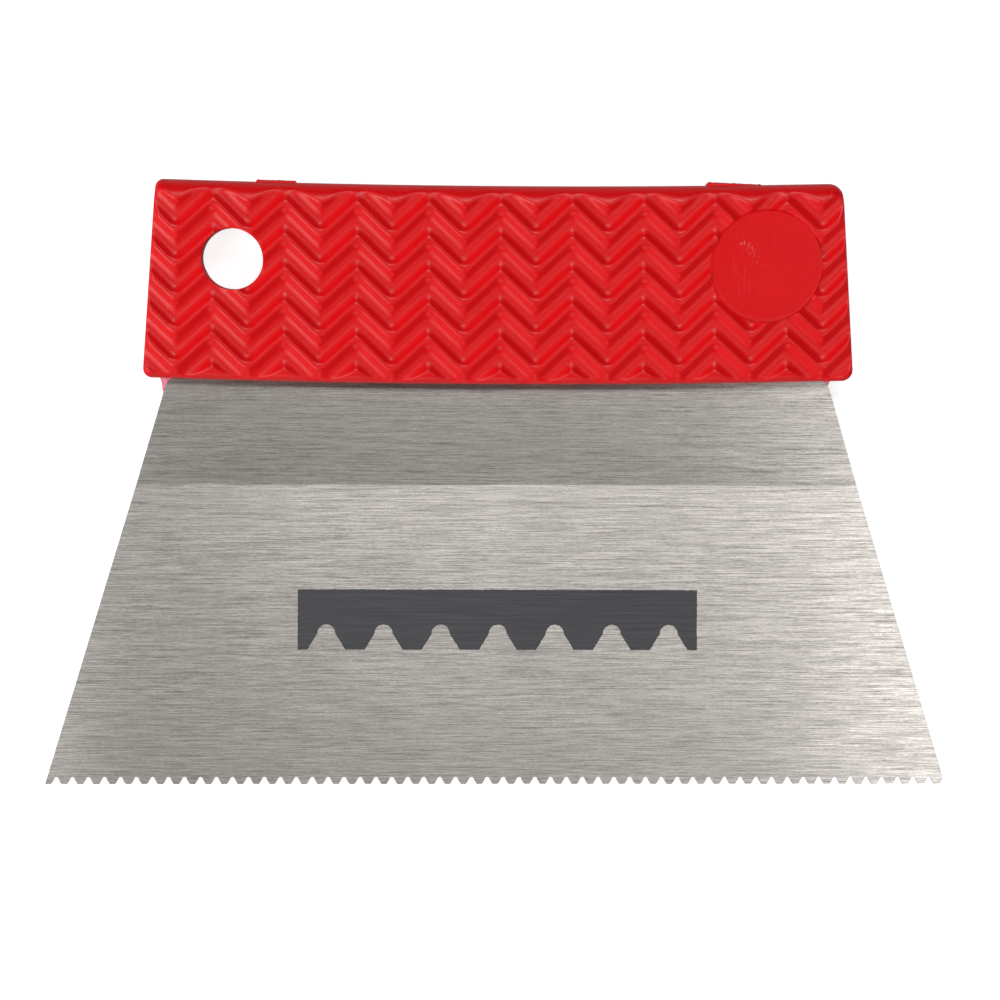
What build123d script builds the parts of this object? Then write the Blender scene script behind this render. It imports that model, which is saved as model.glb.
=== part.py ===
from build123d import *
from math import asin, atan2, cos, hypot, radians, sin
import os

os.makedirs("parts", exist_ok=True)

# Notched adhesive spreader: a cranked spring-steel comb blade with a soft grip moulded over its tang.
# The tool lies face up on a flat surface. X runs along the notched edge, Y from the notched edge to the
# grip, +Z up. It rests on the teeth and on the lower rear rim of the grip. The origin is below the middle
# of the whole tool, on the surface that it lies on. Millimetres.

# Whole tool
overall_reach = 120.296  # Y size of the whole tool, which centres it on the origin

# Blade
edge_width = 180.0  # along the notched edge
side_slope = 0.297  # how much each side draws in per millimetre of height
working_height = 59.85  # notched edge to crease
sheet_thickness = 0.8
crank_angle = 6.5  # upward bend at the crease
bend_radius = 2.0  # of the sheet's middle surface

# Notches
notch_pitch = 3.175
notch_count = 57  # the last one is cut in half by the corner
first_notch = 2.2  # from the left corner to the first notch's centre
notch_mouth = 2.1
notch_depth = 1.4
notch_root_radius = 0.5

# Tang, hidden in the grip
shoulder_height = 22.0  # from the crease, a little above the grip's lower edge
shoulder_radius = 4.0
tang_half_width = 61.0
tang_top = 56.5
tang_corner_radius = 4.0
tang_root_radius = 0.8
anchor_hole_radius = 4.5
anchor_hole_pitch = 17.6
anchor_hole_count = 5

# Grip, measured from the crease along the tang
grip_bottom = 20.3  # on the centre line
grip_top = 59.65  # on the centre line
grip_bow = 1.05  # the ends stand this much higher than the middle
grip_half_width_bottom = 70.75
grip_half_width_top = 68.1
grip_thickness = 8.5
grip_corner_radius = 2.0
grip_rim_radius = 1.9
hole_offset = 53.0  # hang hole and disc stand this far left and right of the centre line
hole_height = 44.85
hole_radius = 6.05
disc_height = 44.1
disc_radius = 11.1
disc_recess = 0.28

# Chevron grooves on both broad faces
groove_half_pitch = 7.13  # sideways, valley to peak
groove_rise = 6.85  # valley to peak
groove_corners = 11  # corners on each side of the peak on the centre line, to beyond the grip's ends
groove_row_pitch = 6.63
groove_row_count = 6
lowest_groove_valley = 19.3
groove_width = 3.75
groove_depth = 0.9

# Trimmed gates on the top edge, at the mould's parting plane: centre, width and height
gates = ((-44.4, 8.0, 0.5), (46.6, 11.0, 0.7))
gate_thickness = 2.4
gate_root = 1.0  # how far a gate reaches into the grip

# Flash squeezed out beside the blade's shoulders, at the parting plane: centre, width and height
flashes = ((-66.55, 1.9, 2.2), (66.0, 1.0, 1.0))
flash_thickness = 0.25
flash_root = 1.6  # how far it reaches into the grip

# Lengths that only have to run past what they cut
spare_sheet = 5.0
spare_cut = 1.0
plan_floor = -5.0
plan_height = 100.0

# The tool tips forward until the grip's lower rear rim and the teeth both touch the surface.
rim_centre_height = grip_bottom + grip_rim_radius
rim_centre_drop = grip_thickness / 2 - grip_rim_radius
crank = radians(crank_angle)
along = working_height + rim_centre_height * cos(crank) + rim_centre_drop * sin(crank)
across = rim_centre_height * sin(crank) - rim_centre_drop * cos(crank)
rest_tilt = asin((grip_rim_radius - sheet_thickness / 2) / hypot(along, across)) - atan2(across, along)
grip_tilt = rest_tilt + crank

toe_y = -overall_reach / 2
toe_z = sheet_thickness / 2
crease_y = toe_y + working_height * cos(rest_tilt)
crease_z = toe_z + working_height * sin(rest_tilt)

tang_plane = Plane(
    origin=(0, crease_y, crease_z),
    x_dir=(1, 0, 0),
    z_dir=(0, -sin(grip_tilt), cos(grip_tilt)),
)


def bow_at(x):
    """Height that the grip's curve adds at the distance x from the centre line."""
    return grip_bow * (x / grip_half_width_bottom) ** 2


def zigzag_points(valley_height):
    """Corners of one chevron groove's middle line, with a peak on the centre line."""
    points = []
    for corner in range(-groove_corners, groove_corners + 1):
        x = corner * groove_half_pitch
        rise = groove_rise if corner % 2 == 0 else 0
        points.append((x, valley_height + rise + bow_at(x)))
    return points


# One notch: a mouth that narrows to a round root, pointing up from the notched edge
with BuildSketch() as notch:
    with BuildLine():
        Polyline(
            (-notch_mouth / 2, -spare_cut),
            (-notch_mouth / 2, 0),
            (-notch_root_radius, notch_depth - notch_root_radius),
            (notch_root_radius, notch_depth - notch_root_radius),
            (notch_mouth / 2, 0),
            (notch_mouth / 2, -spare_cut),
            close=True,
        )
    make_face()
    with Locations((0, notch_depth - notch_root_radius)):
        Circle(notch_root_radius)

# Blade: the bent sheet, cut to the plan outline
tang_end = tang_plane.from_local_coords((0, tang_top + spare_sheet, 0))
shoulder_y = tang_plane.from_local_coords((0, shoulder_height, 0)).Y
tang_top_y = tang_plane.from_local_coords((0, tang_top, 0)).Y
crease_half_width = edge_width / 2 - side_slope * working_height
shoulder_half_width = crease_half_width - side_slope * shoulder_height
notch_xs = [first_notch - edge_width / 2 + notch_pitch * place for place in range(notch_count)]

with BuildPart() as blade:
    with BuildSketch(Plane.YZ.offset(-edge_width / 2)) as sheet_section:
        with BuildLine() as sheet_line:
            FilletPolyline(
                (toe_y, toe_z),
                (crease_y, crease_z),
                (tang_end.Y, tang_end.Z),
                radius=bend_radius,
            )
            offset(amount=sheet_thickness / 2, side=Side.BOTH)
        make_face()
    extrude(amount=edge_width)

    with BuildSketch(Plane.XY.offset(plan_floor)) as plan:
        with BuildLine() as outline:
            Polyline(
                (edge_width / 2, toe_y),
                (crease_half_width, crease_y),
                (shoulder_half_width, shoulder_y),
                (tang_half_width, shoulder_y),
                (tang_half_width, tang_top_y),
                (-tang_half_width, tang_top_y),
                (-tang_half_width, shoulder_y),
                (-shoulder_half_width, shoulder_y),
                (-crease_half_width, crease_y),
                (-edge_width / 2, toe_y),
                close=True,
            )
        make_face()
        shoulder_line = plan.vertices().group_by(Axis.Y)[-2].sort_by(Axis.X)
        fillet([shoulder_line[0], shoulder_line[-1]], radius=shoulder_radius)
        fillet([shoulder_line[1], shoulder_line[2]], radius=tang_root_radius)
        fillet(plan.vertices().group_by(Axis.Y)[-1], radius=tang_corner_radius)
        with Locations(*[(x, toe_y) for x in notch_xs]):
            add(notch.sketch, mode=Mode.SUBTRACT)
    extrude(amount=plan_height, mode=Mode.INTERSECT)

    with BuildSketch(tang_plane) as tang_holes:
        with Locations((0, (hole_height + disc_height) / 2)):
            with GridLocations(anchor_hole_pitch, 0, anchor_hole_count, 1):
                Circle(anchor_hole_radius)
        with Locations((-hole_offset, hole_height), (hole_offset, hole_height)):
            Circle(hole_radius)
    extrude(amount=grip_thickness, both=True, mode=Mode.SUBTRACT)

blade.part.label = "blade"
export_step(blade.part, "parts/blade.step")


# Grip: a bowed, slightly tapered slab moulded over the tang and through its holes
groove_radius = (groove_width**2 / 4 + groove_depth**2) / (2 * groove_depth)
groove_axis_height = grip_thickness / 2 + groove_radius - groove_depth

with BuildPart() as grip:
    with BuildSketch(tang_plane) as grip_outline:
        with BuildLine() as grip_edge:
            bottom_arc = ThreePointArc(
                (-grip_half_width_bottom, grip_bottom + grip_bow),
                (0, grip_bottom),
                (grip_half_width_bottom, grip_bottom + grip_bow),
            )
            top_arc = ThreePointArc(
                (-grip_half_width_top, grip_top + grip_bow),
                (0, grip_top),
                (grip_half_width_top, grip_top + grip_bow),
            )
            Line(bottom_arc @ 0, top_arc @ 0)
            Line(bottom_arc @ 1, top_arc @ 1)
        make_face()
        fillet(grip_outline.vertices(), radius=grip_corner_radius)
    extrude(amount=grip_thickness / 2, both=True)
    broad_faces = grip.faces().sort_by(Axis((0, 0, 0), tang_plane.z_dir))
    fillet(broad_faces[-1].edges() + broad_faces[0].edges(), radius=grip_rim_radius)

    for side in (1, -1):
        groove_plane = tang_plane.offset(side * groove_axis_height)
        for row in range(groove_row_count):
            with BuildLine(groove_plane) as groove_line:
                Polyline(*zigzag_points(lowest_groove_valley + groove_row_pitch * row))
            with BuildSketch(Plane(origin=groove_line.line @ 0, z_dir=groove_line.line % 0)):
                Circle(groove_radius)
            sweep(path=groove_line.line, transition=Transition.RIGHT, mode=Mode.SUBTRACT)

    with BuildSketch(tang_plane) as disc_pad:
        with Locations((hole_offset, disc_height)):
            Circle(disc_radius)
    extrude(amount=grip_thickness / 2 - disc_recess)

    with BuildSketch(tang_plane.offset(grip_thickness / 2 - disc_recess)) as disc_pocket:
        with Locations((hole_offset, disc_height)):
            Circle(disc_radius)
    extrude(amount=grip_thickness, mode=Mode.SUBTRACT)

    with BuildSketch(tang_plane) as gate_outline:
        for gate_x, gate_width, gate_height in gates:
            with Locations((gate_x, grip_top + bow_at(gate_x) - gate_root)):
                Rectangle(gate_width, gate_root + gate_height, align=(Align.CENTER, Align.MIN))
    extrude(amount=gate_thickness / 2, both=True)

    with BuildSketch(tang_plane) as flash_outline:
        for flash_x, flash_width, flash_height in flashes:
            with Locations((flash_x, grip_bottom + bow_at(flash_x) + flash_root)):
                Rectangle(flash_width, flash_root + flash_height, align=(Align.CENTER, Align.MAX))
    extrude(amount=flash_thickness / 2, both=True)

    add(blade.part, mode=Mode.SUBTRACT)

    with BuildSketch(tang_plane) as hang_hole:
        with Locations((-hole_offset, hole_height)):
            Circle(hole_radius)
    extrude(amount=grip_thickness, both=True, mode=Mode.SUBTRACT)

grip.part.label = "grip"
export_step(grip.part, "parts/grip.step")
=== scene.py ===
import bpy
import numpy as np
from math import asin, atan2, cos, hypot, pi, radians, sin
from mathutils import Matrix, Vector


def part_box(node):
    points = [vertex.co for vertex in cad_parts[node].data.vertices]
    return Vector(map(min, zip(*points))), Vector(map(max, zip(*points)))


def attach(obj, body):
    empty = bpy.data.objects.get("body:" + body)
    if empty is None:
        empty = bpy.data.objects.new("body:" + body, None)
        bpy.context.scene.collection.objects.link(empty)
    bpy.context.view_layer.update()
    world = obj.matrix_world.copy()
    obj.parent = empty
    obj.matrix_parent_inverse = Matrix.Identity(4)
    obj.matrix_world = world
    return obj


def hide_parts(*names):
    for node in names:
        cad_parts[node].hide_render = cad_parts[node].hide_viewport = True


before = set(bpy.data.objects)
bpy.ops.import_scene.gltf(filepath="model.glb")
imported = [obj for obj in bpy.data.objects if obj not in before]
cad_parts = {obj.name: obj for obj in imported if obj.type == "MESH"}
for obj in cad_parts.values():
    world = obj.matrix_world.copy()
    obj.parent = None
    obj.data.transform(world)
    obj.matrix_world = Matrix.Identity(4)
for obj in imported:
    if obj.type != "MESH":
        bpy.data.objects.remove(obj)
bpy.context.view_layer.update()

# A notched adhesive spreader. The steel blade is the CAD part itself, with a material made here. The grip,
# its gate stubs and flash, and the print on the blade are meshes made here.

MM = 0.001
FAR = 1e9
ARC_POINTS = 17

# ---------------------------------------------------------------- sizes, in millimetres, as in the CAD part
SHEET_THICKNESS = 0.8
WORKING_HEIGHT = 59.85
CRANK = radians(6.5)

NOTCH_PITCH = 3.175
NOTCH_MOUTH = 2.1
NOTCH_DEPTH = 1.4
NOTCH_ROOT = 0.5

GRIP_THICKNESS = 8.5
GRIP_BOTTOM = 20.3
GRIP_TOP = 59.65
GRIP_BOW = 1.05
HALF_WIDTH_BOTTOM = 70.75
HALF_WIDTH_TOP = 68.1
RIM_RADIUS = 1.9
HOLE_OFFSET = 53.0
HOLE_HEIGHT = 44.85
HOLE_RADIUS = 6.05
DISC_HEIGHT = 44.1
DISC_RADIUS = 11.1
DISC_RECESS = 0.28

GROOVE_HALF_PITCH = 7.13
GROOVE_RISE = 6.85
GROOVE_ROW_PITCH = 6.63
GROOVE_ROWS = 6
LOWEST_VALLEY = 19.3
GROOVE_WIDTH = 3.75
GROOVE_DEPTH = 0.9
COLUMN_FAN = 1.8e-4  # how much the columns of the pattern spread per millimetre towards the blade

# ---------------------------------------------------------------- where the tool lies, as in the CAD part
half_sheet = SHEET_THICKNESS / 2
rim_centre_height = GRIP_BOTTOM + RIM_RADIUS
rim_centre_drop = GRIP_THICKNESS / 2 - RIM_RADIUS
along = WORKING_HEIGHT + rim_centre_height * cos(CRANK) + rim_centre_drop * sin(CRANK)
across = rim_centre_height * sin(CRANK) - rim_centre_drop * cos(CRANK)
REST_TILT = asin((RIM_RADIUS - half_sheet) / hypot(along, across)) - atan2(across, along)
GRIP_TILT = REST_TILT + CRANK

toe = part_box("blade")[0]
CREASE_Y = toe.y + WORKING_HEIGHT * MM * cos(REST_TILT)
CREASE_Z = (half_sheet + WORKING_HEIGHT * sin(REST_TILT)) * MM


def bow_at(x):
    """Height that the grip's curve adds at the distance x from the centre line."""
    return GRIP_BOW * (x / HALF_WIDTH_BOTTOM) ** 2


def half_width_at(v):
    """Half the grip's width at the height v along the tang."""
    share = (v - GRIP_BOTTOM) / (GRIP_TOP - GRIP_BOTTOM)
    return HALF_WIDTH_BOTTOM + (HALF_WIDTH_TOP - HALF_WIDTH_BOTTOM) * share


def in_tang_frame(points):
    """Scene coordinates of points (x, height along the tang from the crease, distance off its middle)."""
    points = np.asarray(points, float)
    up = points[:, 1] * MM
    out = points[:, 2] * MM
    y = CREASE_Y + up * cos(GRIP_TILT) - out * sin(GRIP_TILT)
    z = CREASE_Z + up * sin(GRIP_TILT) + out * cos(GRIP_TILT)
    return np.column_stack([points[:, 0] * MM, y, z])


# ---------------------------------------------------------------- grip: relief
GROOVE_RADIUS = (GROOVE_WIDTH**2 / 4 + GROOVE_DEPTH**2) / (2 * GROOVE_DEPTH)
COLUMN_STEPS = 24  # grid cells per half pitch
LAND_ROUNDING = 0.16  # softness of the edges between grooves and lands
CORNER_SOFTNESS = 0.5  # rounds the zigzag's corners
COLUMN_MIDDLE = 38.0  # height at which the columns have their stated pitch


def spread(v):
    """Width of the pattern's columns at the height v, against their stated pitch."""
    return 1 - COLUMN_FAN * (v - COLUMN_MIDDLE)


def groove_distance(x, v):
    """Distance from the nearest groove's middle line, which is a zigzag with a peak on the centre line."""
    u = np.abs(x) / spread(v) % (2 * GROOVE_HALF_PITCH)
    u = np.minimum(u, 2 * GROOVE_HALF_PITCH - u)
    u = np.hypot(u, CORNER_SOFTNESS)
    u = GROOVE_HALF_PITCH - np.hypot(GROOVE_HALF_PITCH - u, CORNER_SOFTNESS)
    stroke = hypot(GROOVE_HALF_PITCH, GROOVE_RISE)
    best = np.full(np.shape(u), FAR)
    for row in range(GROOVE_ROWS):
        y = v - (LOWEST_VALLEY + GROOVE_ROW_PITCH * row)
        share = (u * GROOVE_HALF_PITCH - (y - GROOVE_RISE) * GROOVE_RISE) / stroke**2
        share = np.clip(share, 0, 1)
        away = np.hypot(u - share * GROOVE_HALF_PITCH, y - GROOVE_RISE * (1 - share))
        best = np.minimum(best, away)
    return best


def lower_of(a, b, softness):
    """The lower of two heights, with the edge between them rounded."""
    return (a + b - np.sqrt((a - b) ** 2 + 4 * softness**2)) / 2


def with_grooves(base, x, v):
    """A surface of height base with the grooves, round-floored, cut into it."""
    away = groove_distance(x, v)
    inside = np.clip(GROOVE_RADIUS**2 - away**2, 0, None)
    floor = GRIP_THICKNESS / 2 + (GROOVE_RADIUS - GROOVE_DEPTH) - np.sqrt(inside)
    return lower_of(base, floor, LAND_ROUNDING)


# ---------------------------------------------------------------- grip: one half of the moulding
SIDE_ROUNDING = 1.0  # along the grip's two ends
CORNER_GROWTH = 1.8  # how much wider it gets at the corners
CORNER_REACH = 3.0
TOP_ROUNDING = (4.2, 3.9)  # how far it reaches in and how far down, along the top edge
FRONT_BOTTOM_ROUNDING = (2.5, 2.4)
REAR_BOTTOM_ROUNDING = (RIM_RADIUS, RIM_RADIUS)
OUTLINE_RADII = (2.0, 2.8, 1.7, 1.7)  # from the lower right corner, counter-clockwise
CORNER_STEPS = 18
ROLL_STEPS = 22
SIDE_COLUMNS = 12
LAST_CORNER = 9  # pattern corners on each side of the centre line
CELL_X = GROOVE_HALF_PITCH / COLUMN_STEPS
CELL_V = GROOVE_RISE / COLUMN_STEPS
SEAM = 0.32  # cells this near to the disc's edge give way to the gap round it

HOLE = (-HOLE_OFFSET, HOLE_HEIGHT - bow_at(HOLE_OFFSET))
HOLE_EDGE_ROUNDING = 0.18
HOLE_WALL_BREAK = 1.6  # a loop half-way down the wall
SLOT_TOP = half_sheet + 0.04  # the wall ends just above the steel, which lies in a slot
SLOT_SLOPE = 0.02
SLOT_DEPTH = 0.5

DISC = (HOLE_OFFSET, DISC_HEIGHT - bow_at(HOLE_OFFSET))
DISC_TOP = GRIP_THICKNESS / 2 - DISC_RECESS
DISC_STEPS = 240
INSERT = (DISC[0] + 0.14, DISC[1] + 0.07)  # the mould's insert sat a little off centre
GAP_RIM = 0.12
# centre, offset from the disc's radius and depth of each loop of the gap, from outside to inside
GAP_LOOPS = ((DISC, 0.03, 0.05), (DISC, -0.02, 0.14), (INSERT, -0.1, 0.14), (INSERT, -0.18, 0))


class Shell:
    """Collects vertices (x, height along the tang, distance off its middle) and faces of half a grip."""

    def __init__(self):
        self.points = []
        self.faces = []

    def add(self, x, v, height):
        first = len(self.points)
        self.points.extend(zip(x, v, height))
        return list(range(first, len(self.points)))

    def circle(self, centre, radius, height=None, drop=0, steps=180):
        """A loop at the given height or, without one, on the grooved face lowered by drop."""
        at = np.arange(steps) * 2 * pi / steps
        x, v = centre[0] + radius * np.cos(at), centre[1] + radius * np.sin(at)
        if height is None:
            return self.add(x, v, with_grooves(np.full(steps, GRIP_THICKNESS / 2), x, v) - drop)
        return self.add(x, v, np.full(steps, height))

    def band(self, outer, inner):
        """Faces between two closed loops with the same number of points."""
        for k in range(len(outer)):
            m = (k + 1) % len(outer)
            self.faces.append((outer[k], outer[m], inner[m], inner[k]))

    def angle_of(self, point, centre):
        return atan2(self.points[point][1] - centre[1], self.points[point][0] - centre[0])

    def angles_of(self, loop, centre):
        """Angles along a loop round the centre, growing through a full turn back to its first point."""
        at = [self.angle_of(point, centre) for point in loop]
        turned = [at[0]]
        for angle in at[1:] + at[:1]:
            turned.append(turned[-1] + (angle - turned[-1] + pi) % (2 * pi) - pi)
        return turned

    def stitch(self, outer, inner, centre):
        """Triangles between two closed loops round a centre, which may have different numbers of points."""
        start = self.angle_of(outer[0], centre)
        turns = [abs((self.angle_of(point, centre) - start + pi) % (2 * pi) - pi) for point in inner]
        nearest = turns.index(min(turns))
        inner = inner[nearest:] + inner[:nearest]
        a, b = self.angles_of(outer, centre), self.angles_of(inner, centre)
        shift = round((a[0] - b[0]) / (2 * pi)) * 2 * pi
        i = j = 0
        while i < len(outer) or j < len(inner):
            next_a = a[i + 1] if i < len(outer) else FAR
            next_b = b[j + 1] + shift if j < len(inner) else FAR
            here_a, here_b = outer[i % len(outer)], inner[j % len(inner)]
            if next_a <= next_b:
                self.faces.append((here_a, outer[(i + 1) % len(outer)], here_b))
                i += 1
            else:
                self.faces.append((here_a, inner[(j + 1) % len(inner)], here_b))
                j += 1


def make_object(name, points, faces, flip=False, smooth_angle=None):
    mesh = bpy.data.meshes.new(name)
    if flip:
        faces = [tuple(reversed(face)) for face in faces]
    mesh.from_pydata([tuple(p) for p in points], [], faces)
    mesh.validate()
    mesh.shade_smooth()
    if smooth_angle is not None:
        mesh.set_sharp_from_angle(angle=smooth_angle)
    piece = bpy.data.objects.new(name, mesh)
    bpy.context.scene.collection.objects.link(piece)
    return piece


def side_width(v, low, high):
    """How far the rounding along the ends reaches in, which is more towards the corners."""
    to_corner = min(v - low, high - v)
    return SIDE_ROUNDING + CORNER_GROWTH * np.exp(-((to_corner / CORNER_REACH) ** 2))


def face_grid(bottom_inset):
    """Grid points over the broad face: columns that fan out with the pattern, then some up to each end."""
    low, high = GRIP_BOTTOM + bottom_inset, GRIP_TOP - TOP_ROUNDING[0]
    rows = np.linspace(low, high, round((high - low) / CELL_V) + 1)
    inner = np.arange(-LAST_CORNER * COLUMN_STEPS, LAST_CORNER * COLUMN_STEPS + 1) * CELL_X
    grid_x = []
    for v in rows:
        middle = inner * spread(v)
        edge = half_width_at(v) - side_width(v, low, high)
        right = np.linspace(middle[-1], edge, SIDE_COLUMNS + 1)[1:]
        grid_x.append(np.concatenate([-right[::-1], middle, right]))
    grid_x = np.array(grid_x)
    return grid_x, np.repeat(rows[:, None], grid_x.shape[1], axis=1)


def cell_distance(from_centre):
    """Distance of each cell from a centre, out of that of the grid points."""
    return (from_centre[:-1, :-1] + from_centre[1:, 1:]) / 2


def add_cells(shell, grid_x, grid_v, left_out):
    """Two triangles to a cell, split along the pattern's strokes."""
    count_x = grid_x.shape[1]
    for j, i in zip(*np.nonzero(~left_out)):
        a = j * count_x + i
        b, c, d = a + 1, a + count_x + 1, a + count_x
        stroke = np.floor((grid_x[j, i] + CELL_X / 2) / spread(grid_v[j, i]) / GROOVE_HALF_PITCH)
        if stroke % 2 == 0:  # the stroke falls to the right here
            shell.faces += [(a, b, d), (b, c, d)]
        else:
            shell.faces += [(a, b, c), (a, c, d)]


def loops_round(removed):
    """Closed loops of grid points round the cells left out, counter-clockwise, longest first."""
    count_x = removed.shape[1] + 1
    after = {}
    for j, i in zip(*np.nonzero(removed)):
        a = j * count_x + i
        corners = [a, a + 1, a + count_x + 1, a + count_x]
        neighbours = [(j - 1, i), (j, i + 1), (j + 1, i), (j, i - 1)]
        for k, neighbour in enumerate(neighbours):
            if not removed[neighbour]:
                after[corners[k]] = corners[(k + 1) % 4]
    loops = []
    while after:
        first = next(iter(after))
        loop = [first]
        step = after.pop(first)
        while step != first:
            loop.append(step)
            step = after.pop(step)
        loops.append(loop)
    return sorted(loops, key=len, reverse=True)


def add_hole_wall(shell, border):
    """The hang hole's softened edge, then its wall down to the slot that shows the steel."""
    previous = shell.circle(HOLE, HOLE_RADIUS + HOLE_EDGE_ROUNDING)
    shell.stitch(border, previous, HOLE)
    for turn in (0.35 * pi / 2, 0.7 * pi / 2, pi / 2):
        out = HOLE_EDGE_ROUNDING * (1 - sin(turn))
        down = HOLE_EDGE_ROUNDING * (1 - cos(turn))
        loop = shell.circle(HOLE, HOLE_RADIUS + out, drop=down)
        shell.band(previous, loop)
        previous = loop
    deep = HOLE_RADIUS + SLOT_DEPTH
    wall = [(HOLE_RADIUS, HOLE_WALL_BREAK), (HOLE_RADIUS, SLOT_TOP)]
    wall += [(deep, SLOT_TOP - SLOT_SLOPE), (deep, 0)]
    for radius, height in wall:
        loop = shell.circle(HOLE, radius, height)
        shell.band(previous, loop)
        previous = loop


def add_disc_gap(shell, outer_border, inner_border):
    """The fine gap round the pad, where the mould's insert met the mould."""
    previous = shell.circle(DISC, DISC_RADIUS + GAP_RIM, steps=DISC_STEPS)
    shell.stitch(outer_border, previous, DISC)
    for centre, out, down in GAP_LOOPS:
        loop = shell.circle(centre, DISC_RADIUS + out, DISC_TOP - down, steps=DISC_STEPS)
        shell.band(previous, loop)
        previous = loop
    shell.stitch(previous, inner_border[::-1], DISC)


def outline_corner(start, end, corner, radius):
    """Points from start round a corner to end, spaced evenly, with an arc of the given radius between."""
    start, end, corner = np.array(start), np.array(end), np.array(corner)
    to_start = (start - corner) / np.linalg.norm(start - corner)
    to_end = (end - corner) / np.linalg.norm(end - corner)
    half = np.arccos(np.dot(to_start, to_end)) / 2
    middle = (to_start + to_end) / np.linalg.norm(to_start + to_end)
    centre = corner + middle * radius / sin(half)
    reach = radius / np.tan(half)
    first, last = corner + to_start * reach, corner + to_end * reach
    a0 = atan2(*(first - centre)[::-1])
    a1 = atan2(*(last - centre)[::-1])
    turn = (a1 - a0 + pi) % (2 * pi) - pi
    angles = [a0 + turn * share for share in np.linspace(0, 1, ARC_POINTS)]
    path = np.array([start, *(centre + radius * np.array([cos(a), sin(a)]) for a in angles), end])
    lengths = np.concatenate([[0], np.cumsum(np.linalg.norm(np.diff(path, axis=0), axis=1))])
    at = np.linspace(0, lengths[-1], CORNER_STEPS + 1)
    return [(np.interp(t, lengths, path[:, 0]), np.interp(t, lengths, path[:, 1])) for t in at]


def face_border(grid_x, grid_v, bottom_depth):
    """The grid's border points, counter-clockwise from the lower left, each with the point of the outline
    that it faces and the depth of the rounding between the two. A corner point faces a whole corner."""
    rows = grid_v[:, 0]
    count_v, count_x = grid_x.shape
    last = (count_v - 1) * count_x
    bottom = [(i, (grid_x[0, i], GRIP_BOTTOM), bottom_depth) for i in range(count_x)]
    top = [(last + i, (grid_x[-1, i], GRIP_TOP), TOP_ROUNDING[1]) for i in range(count_x)]
    left = [(j * count_x, (-half_width_at(v), v), SIDE_ROUNDING) for j, v in enumerate(rows)]
    right = [((j + 1) * count_x - 1, (half_width_at(v), v), SIDE_ROUNDING) for j, v in enumerate(rows)]
    wide, narrow = half_width_at(GRIP_BOTTOM), half_width_at(GRIP_TOP)
    corners = [(wide, GRIP_BOTTOM), (narrow, GRIP_TOP), (-narrow, GRIP_TOP), (-wide, GRIP_BOTTOM)]
    edges = [bottom, right, top[::-1], left[::-1]]
    border = []
    for k, edge in enumerate(edges):
        border += edge
        anchor, start, depth = edge[-1]
        end, next_depth = edges[(k + 1) % 4][0][1:]
        around = outline_corner(start, end, corners[k], OUTLINE_RADII[k])
        for step in range(1, CORNER_STEPS):
            share = step / CORNER_STEPS
            border.append((anchor, around[step], depth + (next_depth - depth) * share))
    return border


def add_rim(shell, border):
    """Rolls the surface over from the grid's border to the outline, then drops it to the parting plane."""
    anchors = np.array([shell.points[anchor][:2] for anchor, _, _ in border])
    outline = np.array([point for _, point, _ in border])
    depths = np.array([depth for _, _, depth in border])
    previous = [anchor for anchor, _, _ in border]
    for step in range(1, ROLL_STEPS + 1):
        turn = step / ROLL_STEPS * pi / 2
        at = anchors + (outline - anchors) * sin(turn)
        height = GRIP_THICKNESS / 2 - depths * (1 - cos(turn))
        if step < ROLL_STEPS:
            height = with_grooves(height, at[:, 0], at[:, 1])
        loop = shell.add(at[:, 0], at[:, 1], height)
        shell.band(loop, previous)
        previous = loop
    for share in (0.5, 0.04, 0.0):
        loop = shell.add(outline[:, 0], outline[:, 1], (GRIP_THICKNESS / 2 - depths) * share)
        shell.band(loop, previous)
        previous = loop


def object_from_shell(name, shell, side):
    """Bows the shell, drops its unused points and merged corners, and puts it in place."""
    bent = np.array(shell.points)
    bent[:, 1] += bow_at(bent[:, 0])
    bent[:, 2] *= side
    used = sorted({k for face in shell.faces for k in face})
    renumber = {k: n for n, k in enumerate(used)}
    faces = [tuple(dict.fromkeys(renumber[k] for k in face)) for face in shell.faces]
    faces = [face for face in faces if len(face) > 2]
    return make_object(name, in_tang_frame(bent[used]), faces, flip=side < 0, smooth_angle=radians(50))


def grip_half(name, side, bottom_rounding, has_disc):
    """One half of the grip, from its broad face to the parting plane. side is 1 for the front and -1 for
    the rear."""
    grid_x, grid_v = face_grid(bottom_rounding[0])
    height = with_grooves(np.full(grid_x.shape, GRIP_THICKNESS / 2), grid_x, grid_v)
    from_disc = np.hypot(grid_x - DISC[0], grid_v - DISC[1])
    from_hole = np.hypot(grid_x - HOLE[0], grid_v - HOLE[1])
    over_hole = cell_distance(from_hole) < HOLE_RADIUS + 2 * SEAM
    over_seam = np.abs(cell_distance(from_disc) - DISC_RADIUS) < SEAM
    left_out = over_hole
    if has_disc:
        height = np.where(from_disc < DISC_RADIUS, DISC_TOP, height)
        left_out = over_hole | over_seam

    shell = Shell()
    shell.add(grid_x.ravel(), grid_v.ravel(), height.ravel())
    add_cells(shell, grid_x, grid_v, left_out)
    add_hole_wall(shell, loops_round(over_hole)[0])
    if has_disc:
        add_disc_gap(shell, *loops_round(over_seam)[:2])
    add_rim(shell, face_border(grid_x, grid_v, bottom_rounding[1]))
    return object_from_shell(name, shell, side)


# ---------------------------------------------------------------- small pieces
GATE_STEPS = 26
GATE_HALF_THICKNESS = 1.2
GATE_ROOT = 1.2  # how far a stub reaches into the grip
GATE_REAR_SHOULDER = (0.22, 0.864)  # its drop below the top, and where it ends off the parting plane
GATE_FRONT_SHOULDER = (0.2, 0.84)
GATE_RAGGEDNESS = 0.035
GATE_LEAN = 0.04
GATE_END_HEIGHT = 0.45  # share of the height at the very ends, which rises over a short way in
GATE_END_SLOPE = 20


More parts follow.
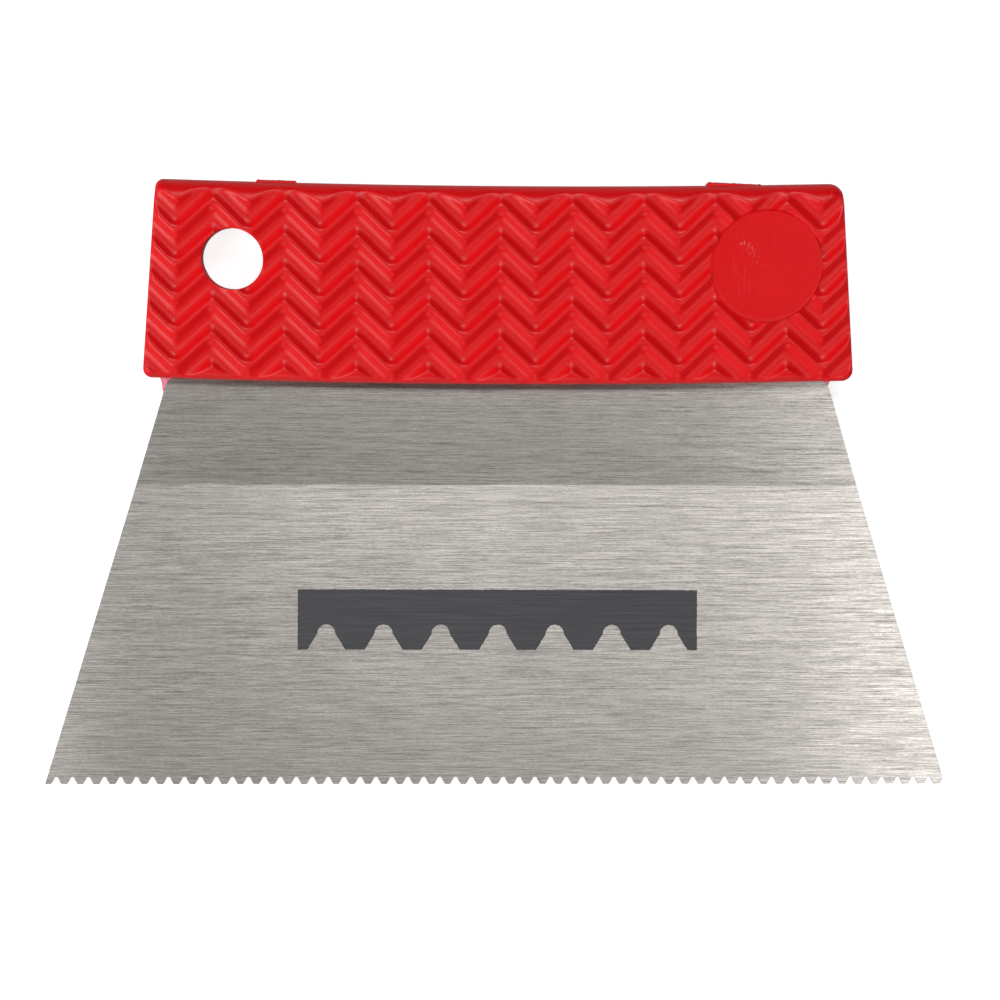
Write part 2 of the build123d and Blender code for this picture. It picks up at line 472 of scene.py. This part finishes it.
def gate_piece(name, middle, width, heights, seed):
    """The torn stub of a gate on the grip's top edge. heights are at its left and right ends."""
    random = np.random.default_rng(seed)
    thick = GATE_HALF_THICKNESS
    rear_drop, rear_flat = GATE_REAR_SHOULDER
    front_drop, front_flat = GATE_FRONT_SHOULDER
    points, faces = [], []
    for k in range(GATE_STEPS + 1):
        share = k / GATE_STEPS
        x = middle + (share - 0.5) * width
        height = heights[0] + (heights[1] - heights[0]) * share + random.normal(0, GATE_RAGGEDNESS)
        from_end = min(share, 1 - share)
        edge = GRIP_TOP + bow_at(x)
        foot = edge - GATE_ROOT
        top = edge + height * min(1, GATE_END_SLOPE * from_end + GATE_END_HEIGHT)
        lean = random.normal(0, GATE_LEAN)
        section = [(foot, -thick), (top - rear_drop, -thick), (top, -rear_flat), (top + lean, 0)]
        section += [(top - lean, front_flat), (top - front_drop, thick), (foot, thick)]
        points += [(x, v, n) for v, n in section]
    size = len(section)
    for k in range(GATE_STEPS):
        for m in range(size):
            a, b = k * size + m, k * size + (m + 1) % size
            faces.append((a, a + size, b + size, b))
    faces.append(tuple(range(size)))
    faces.append(tuple(reversed(range(GATE_STEPS * size, (GATE_STEPS + 1) * size))))
    return make_object(name, in_tang_frame(points), faces, smooth_angle=radians(40))


FLASH_HALF_THICKNESS = 0.11


def slab_faces(count):
    """Faces of a slab whose points are its outline on the one side and then on the other."""
    faces = [tuple(range(count)), tuple(reversed(range(count, 2 * count)))]
    for k in range(count):
        m = (k + 1) % count
        faces.append((k, k + count, m + count, m))
    return faces


def flash_piece(name, outline):
    """A thin skin of plastic at the parting plane. outline lists (x, height along the tang)."""
    points = [(x, v, FLASH_HALF_THICKNESS) for x, v in outline]
    points += [(x, v, -FLASH_HALF_THICKNESS) for x, v in outline]
    piece = make_object(name, in_tang_frame(points), slab_faces(len(outline)))
    mesh = piece.data
    if mesh.polygons[0].normal.z < 0:
        mesh.flip_normals()
    mesh.set_sharp_from_angle(angle=radians(30))
    return piece


PRINT_ENLARGEMENT = 3.6
PRINT_NOTCHES = 7
PRINT_BOTTOM = 26.8  # up from the notched edge
PRINT_BAR = 7.0  # height of the bar above the notches
PRINT_ARC_POINTS = 13
PRINT_SPACING = 0.4  # of the points along its ragged outline
PRINT_RAGGEDNESS = 0.03
INK_THICKNESS = 0.02


def on_blade(x, up, lift):
    """Scene coordinates of a point on the blade's flat part, up from the notched edge, above its face."""
    out = half_sheet + lift
    y = toe.y + (up * cos(REST_TILT) - out * sin(REST_TILT)) * MM
    z = (half_sheet + up * sin(REST_TILT) + out * cos(REST_TILT)) * MM
    return (x * MM, y, z)


def print_corners():
    """Outline of the printed sign: a bar with a row of enlarged notches in its lower edge."""
    sizes = (NOTCH_PITCH, NOTCH_MOUTH, NOTCH_DEPTH, NOTCH_ROOT)
    pitch, mouth, depth, root = (size * PRINT_ENLARGEMENT for size in sizes)
    low = PRINT_BOTTOM
    top = low + depth + PRINT_BAR
    half_width = PRINT_NOTCHES * pitch / 2
    turns = np.linspace(0, pi, PRINT_ARC_POINTS)
    corners = [(half_width, low), (half_width, top), (-half_width, top), (-half_width, low)]
    for k in range(PRINT_NOTCHES):
        x = -half_width + (k + 0.5) * pitch
        arc = [(x - root * cos(turn), low + depth - root + root * sin(turn)) for turn in turns]
        corners += [(x - mouth / 2, low), *arc, (x + mouth / 2, low)]
    return corners


def print_piece(name):
    """A printed sign for the notch profile: the notched edge itself, enlarged."""
    random = np.random.default_rng(7)
    corners = print_corners()
    outline = []
    for (x0, u0), (x1, u1) in zip(corners, corners[1:] + corners[:1]):
        steps = max(1, round(hypot(x1 - x0, u1 - u0) / PRINT_SPACING))
        for step in range(steps):
            share = step / steps
            ragged = random.normal(0, PRINT_RAGGEDNESS, 2)
            outline.append((x0 + (x1 - x0) * share + ragged[0], u0 + (u1 - u0) * share + ragged[1]))
    points = [on_blade(x, u, INK_THICKNESS) for x, u in outline]
    points += [on_blade(x, u, -INK_THICKNESS) for x, u in outline]
    return make_object(name, points, slab_faces(len(outline)), smooth_angle=radians(30))


# ---------------------------------------------------------------- materials
def new_material(name):
    material = bpy.data.materials.new(name)
    material.use_nodes = True
    tree = material.node_tree
    return material, tree, tree.nodes["Principled BSDF"]


def add_node(tree, kind, **values):
    node = tree.nodes.new(kind)
    for key, value in values.items():
        setattr(node, key, value)
    return node


def stretched_noise(tree, scale, detail=3.0, rotation=(0, 0, 0)):
    """Noise in the object's own coordinates, with its own number of cells per metre along X, Y and Z."""
    place = add_node(tree, "ShaderNodeTexCoord")
    mapping = add_node(tree, "ShaderNodeMapping")
    mapping.inputs["Scale"].default_value = scale
    mapping.inputs["Rotation"].default_value = rotation
    noise = add_node(tree, "ShaderNodeTexNoise")
    noise.inputs["Scale"].default_value = 1.0
    noise.inputs["Detail"].default_value = detail
    noise.inputs["Roughness"].default_value = 0.6
    tree.links.new(place.outputs["Object"], mapping.inputs["Vector"])
    tree.links.new(mapping.outputs["Vector"], noise.inputs["Vector"])
    return noise.outputs["Fac"]


def ramp(tree, value, low, high, start, end):
    """Maps a value between start and end to low and high."""
    node = add_node(tree, "ShaderNodeMapRange")
    node.inputs["From Min"].default_value = start
    node.inputs["From Max"].default_value = end
    node.inputs["To Min"].default_value = low
    node.inputs["To Max"].default_value = high
    tree.links.new(value, node.inputs["Value"])
    return node.outputs["Result"]


def maths(tree, operation, a, b):
    node = add_node(tree, "ShaderNodeMath", operation=operation)
    for socket, value in zip(node.inputs, (a, b)):
        if isinstance(value, (int, float)):
            socket.default_value = value
        else:
            tree.links.new(value, socket)
    return node.outputs[0]


def blend_colours(tree, factor, a, b):
    node = add_node(tree, "ShaderNodeMix", data_type="RGBA")
    for socket, value in ((node.inputs[6], a), (node.inputs[7], b)):
        if isinstance(value, tuple):
            socket.default_value = value
        else:
            tree.links.new(value, socket)
    if isinstance(factor, (int, float)):
        node.inputs[0].default_value = factor
    else:
        tree.links.new(factor, node.inputs[0])
    return node.outputs[2]


def add_bump(tree, shader, height, strength, distance):
    bump = add_node(tree, "ShaderNodeBump")
    bump.inputs["Strength"].default_value = strength
    bump.inputs["Distance"].default_value = distance
    tree.links.new(height, bump.inputs["Height"])
    tree.links.new(bump.outputs["Normal"], shader.inputs["Normal"])


def patch(tree, centre, size, turn):
    """1 in the middle of an oval region of the tool's plan, falling to 0 at its edge. Millimetres."""
    place = add_node(tree, "ShaderNodeTexCoord")
    mapping = add_node(tree, "ShaderNodeMapping", vector_type="TEXTURE")
    mapping.inputs["Location"].default_value = (centre[0] * MM, centre[1] * MM, 0)
    mapping.inputs["Rotation"].default_value = (0, 0, turn)
    mapping.inputs["Scale"].default_value = (size[0] * MM, size[1] * MM, 1)
    ball = add_node(tree, "ShaderNodeTexGradient", gradient_type="SPHERICAL")
    tree.links.new(place.outputs["Object"], mapping.inputs["Vector"])
    tree.links.new(mapping.outputs["Vector"], ball.inputs["Vector"])
    return ball.outputs["Fac"]


def plastic_material():
    """Soft PVC, coloured through: slightly mottled, with a fine moulded texture, pale specks and scuffs.
    The disc shines a little less than the rest."""
    material, tree, shader = new_material("red_pvc")
    mottle = stretched_noise(tree, (90, 90, 90), 4)
    dark, light = (0.65, 0.0016, 0.0033, 1), (0.70, 0.0027, 0.0052, 1)
    colour = blend_colours(tree, ramp(tree, mottle, 0, 1, 0.3, 0.7), dark, light)
    specks = stretched_noise(tree, (2600, 900, 900), 2, (0, 0, radians(35)))
    rubbed = ramp(tree, specks, 0, 0.3, 0.75, 0.83)
    colour = blend_colours(tree, rubbed, colour, (0.86, 0.10, 0.10, 1))

    # scuffs on the disc, where the tool was handled most, and a few faint drag marks below them
    disc_y = CREASE_Y / MM + DISC_HEIGHT * cos(GRIP_TILT)
    scratches = stretched_noise(tree, (3200, 900, 900), 3, (0, 0, radians(25)))
    near = patch(tree, (HOLE_OFFSET - 3.9, disc_y + 3.4), (1.6, 7.5), radians(36))
    scratches = maths(tree, "ADD", scratches, maths(tree, "MULTIPLY", near, 0.26))
    scuffed = ramp(tree, scratches, 0, 0.5, 0.74, 0.88)
    colour = blend_colours(tree, scuffed, colour, (0.9, 0.32, 0.32, 1))
    drags = stretched_noise(tree, (2600, 200, 200), 2)
    below = patch(tree, (HOLE_OFFSET - 4.0, disc_y - 2.5), (7.0, 8.0), 0)
    drags = maths(tree, "ADD", drags, maths(tree, "MULTIPLY", below, 0.16))
    dragged = ramp(tree, drags, 0, 0.1, 0.66, 0.84)
    colour = blend_colours(tree, dragged, colour, (0.88, 0.2, 0.2, 1))

    tree.links.new(colour, shader.inputs["Base Color"])
    grain = stretched_noise(tree, (1500, 1500, 1500), 3)
    on_disc = patch(tree, (HOLE_OFFSET, disc_y), (DISC_RADIUS, DISC_RADIUS), 0)
    tree.links.new(ramp(tree, grain, 0.27, 0.37, 0.3, 0.7), shader.inputs["Roughness"])
    add_bump(tree, shader, grain, 0.25, 0.00004)
    tree.links.new(ramp(tree, on_disc, 0.3, 0.17, 0.0, 0.04), shader.inputs["Specular IOR Level"])
    return material


def flash_material():
    """The same plastic, so thin that light comes through and it looks pink."""
    material, tree, shader = new_material("thin_pvc")
    patches = stretched_noise(tree, (700, 700, 700), 2)
    deep, pale = (0.92, 0.10, 0.26, 1), (0.95, 0.30, 0.45, 1)
    colour = blend_colours(tree, ramp(tree, patches, 0, 1, 0.35, 0.65), deep, pale)
    tree.links.new(colour, shader.inputs["Base Color"])
    shader.inputs["Roughness"].default_value = 0.35
    shader.inputs["Alpha"].default_value = 0.85
    return material


def steel_material():
    """Spring steel, brushed along the notched edge: hair-fine streaks of several lengths, a bit cloudy."""
    material, tree, shader = new_material("brushed_spring_steel")
    long_streaks = maths(tree, "MULTIPLY", stretched_noise(tree, (70, 6500, 200), 1), 0.38)
    short_streaks = maths(tree, "MULTIPLY", stretched_noise(tree, (230, 7500, 300), 1), 0.37)
    grain = maths(tree, "MULTIPLY", stretched_noise(tree, (1100, 8000, 1100), 1), 0.25)
    streaks = maths(tree, "ADD", maths(tree, "ADD", long_streaks, short_streaks), grain)
    dark, light = (0.25, 0.234, 0.216, 1), (0.98, 0.927, 0.868, 1)
    colour = blend_colours(tree, ramp(tree, streaks, 0, 1, 0.36, 0.64), dark, light)
    clouds = stretched_noise(tree, (45, 110, 110), 3)
    colour = blend_colours(tree, ramp(tree, clouds, 0, 0.16, 0.35, 0.7), colour, (0.40, 0.38, 0.36, 1))
    tree.links.new(colour, shader.inputs["Base Color"])
    tree.links.new(ramp(tree, streaks, 0.34, 0.27, 0.35, 0.65), shader.inputs["Roughness"])
    add_bump(tree, shader, streaks, 0.08, 0.00002)
    shader.inputs["Metallic"].default_value = 1.0
    shader.inputs["Anisotropic"].default_value = 0.9
    across_the_brushing = add_node(tree, "ShaderNodeCombineXYZ")
    across_the_brushing.inputs[1].default_value = 1.0
    tree.links.new(across_the_brushing.outputs[0], shader.inputs["Tangent"])
    return material


def ink_material():
    """Matt dark ink, thin enough for the brushing below to show a little."""
    material, tree, shader = new_material("dark_ink")
    streaks = stretched_noise(tree, (60, 3000, 100), 4)
    dark, light = (0.043, 0.043, 0.048, 1), (0.072, 0.072, 0.078, 1)
    colour = blend_colours(tree, ramp(tree, streaks, 0, 1, 0.35, 0.68), dark, light)
    tree.links.new(colour, shader.inputs["Base Color"])
    tree.links.new(ramp(tree, streaks, 0.5, 0.65, 0.3, 0.7), shader.inputs["Roughness"])
    shader.inputs["Specular IOR Level"].default_value = 0.3
    return material


def floor_material():
    """Pale, and glowing a little, but only where the camera sees it: no glare from it reaches the tool."""
    material, tree, shader = new_material("pale_floor")
    shader.inputs["Base Color"].default_value = (0.5, 0.5, 0.5, 1)
    shader.inputs["Roughness"].default_value = 0.9
    shader.inputs["Specular IOR Level"].default_value = 0.1
    shader.inputs["Emission Color"].default_value = (1, 1, 1, 1)
    rays = add_node(tree, "ShaderNodeLightPath")
    glow = maths(tree, "MULTIPLY", rays.outputs["Is Camera Ray"], 0.8)
    tree.links.new(glow, shader.inputs["Emission Strength"])
    return material


# ---------------------------------------------------------------- stage
FLOOR_DROP = 0.00002  # so that the floor doesn't share a plane with anything that stands on it
FLOOR_SEGMENTS = 64


def make_floor():
    """A pale floor whose far edge sweeps up into a backdrop all round."""
    flat, rise = 1.2, 0.8
    profile = [(radius, 0.0) for radius in (0.3, 0.6, 0.9)]
    profile += [(flat + rise * sin(t), rise * (1 - cos(t))) for t in np.linspace(0, pi / 2, 12)]
    angles = np.arange(FLOOR_SEGMENTS) * 2 * pi / FLOOR_SEGMENTS
    points = [(0, 0, 0)]
    for radius, z in profile:
        points += [(radius * cos(angle), radius * sin(angle), z) for angle in angles]
    faces = [(0, 1 + k, 1 + (k + 1) % FLOOR_SEGMENTS) for k in range(FLOOR_SEGMENTS)]
    for ring in range(len(profile) - 1):
        first, second = 1 + ring * FLOOR_SEGMENTS, 1 + (ring + 1) * FLOOR_SEGMENTS
        for k in range(FLOOR_SEGMENTS):
            m = (k + 1) % FLOOR_SEGMENTS
            faces.append((first + k, second + k, second + m, first + m))
    floor = make_object("floor", points, faces)
    floor.location.z = -FLOOR_DROP
    floor.data.materials.append(floor_material())


def add_panel(name, location, size, power, aimed=False, reflected=True):
    """A softbox, facing straight down or aimed at the tool; it can be kept out of reflections."""
    light = bpy.data.lights.new(name, "AREA")
    light.shape = "RECTANGLE"
    light.size, light.size_y = size
    light.energy = power
    lamp = bpy.data.objects.new(name, light)
    bpy.context.scene.collection.objects.link(lamp)
    lamp.location = location
    lamp.visible_glossy = reflected
    if aimed:
        lamp.rotation_euler = (-Vector(location)).to_track_quat("-Z", "Y").to_euler()


def make_lights():
    """A big window of light at the upper left, a panel at the upper back for the steel, fills between them
    and low panels round the tool. Seen from the side, the flat steel would mirror the strongest of those."""
    add_panel("window", (-0.93, -0.6, 1.3), (0.68, 0.75), 12.6)
    add_panel("window_near", (-0.45, -0.22, 1.3), (0.34, 0.7), 3.0)
    add_panel("back", (0.1, 0.66, 1.3), (0.54, 0.42), 6.1)
    add_panel("back_left", (-1.1, 0.4, 1.3), (0.34, 0.8), 1.3)
    add_panel("right_fill", (0.45, -0.22, 1.3), (0.34, 0.7), 1.9)
    add_panel("far_right", (0.9, -0.5, 1.3), (0.4, 0.8), 2.0)
    add_panel("left_side", (-1.7, 0, 0.6), (0.9, 0.9), 14.0, aimed=True, reflected=False)
    add_panel("left_front", (-1.2, -1.2, 0.6), (0.9, 0.9), 1.2, aimed=True)
    add_panel("front", (0, -1.7, 0.6), (0.9, 0.9), 4.0, aimed=True)
    add_panel("right_side", (1.7, 0, 0.6), (0.9, 0.9), 1.5, aimed=True)
    world = bpy.data.worlds.new("studio")
    world.use_nodes = True
    world.node_tree.nodes["Background"].inputs["Strength"].default_value = 0.0
    bpy.context.scene.world = world


def make_camera():
    """Looks down on the tool from 0.6 m, all but square to the floor."""
    data = bpy.data.cameras.new("camera")
    data.sensor_width = 36.0
    data.lens = 108.0
    data.clip_start, data.clip_end = 0.05, 20.0
    camera = bpy.data.objects.new("camera", data)
    bpy.context.scene.collection.objects.link(camera)
    camera.location = (-0.02334, -0.02971, 0.60203)
    camera.rotation_euler = (radians(2.508), radians(-2.266), radians(0.096))
    bpy.context.scene.camera = camera


# ---------------------------------------------------------------- put together
plastic = plastic_material()
steel = steel_material()


def finish_piece(piece, material):
    """Gives a piece its material and body."""
    piece.data.materials.append(material)
    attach(piece, "root")


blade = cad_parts["blade"]
blade.data.materials.clear()
blade.data.materials.append(steel)

front = grip_half("grip_front", 1, FRONT_BOTTOM_ROUNDING, has_disc=True)
rear = grip_half("grip_rear", -1, REAR_BOTTOM_ROUNDING, has_disc=False)
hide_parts("grip")
finish_piece(front, plastic)
finish_piece(rear, plastic)
finish_piece(gate_piece("gate_left", -44.4, 8.0, (0.42, 0.36), seed=1), plastic)
finish_piece(gate_piece("gate_right", 46.6, 11.0, (0.7, 0.1), seed=2), plastic)

thin_plastic = flash_material()
left_flash = [(-67.6, 22.3), (-67.45, 21.0), (-67.15, 20.2), (-67.1, 19.2), (-67.0, 18.7), (-66.75, 18.2)]
left_flash += [(-66.5, 19.0), (-66.2, 19.7), (-65.8, 20.5), (-65.2, 21.3), (-64.8, 22.0), (-64.7, 22.3)]
right_flash = [(66.9, 22.3), (66.6, 21.2), (66.3, 20.5), (65.9, 20.1)]
right_flash += [(65.3, 20.7), (64.6, 21.6), (64.2, 22.3)]
finish_piece(flash_piece("flash_left", left_flash), thin_plastic)
finish_piece(flash_piece("flash_right", right_flash), thin_plastic)
finish_piece(print_piece("notch_print"), ink_material())

make_floor()
make_lights()
make_camera()
bpy.context.scene.view_settings.view_transform = "Standard"
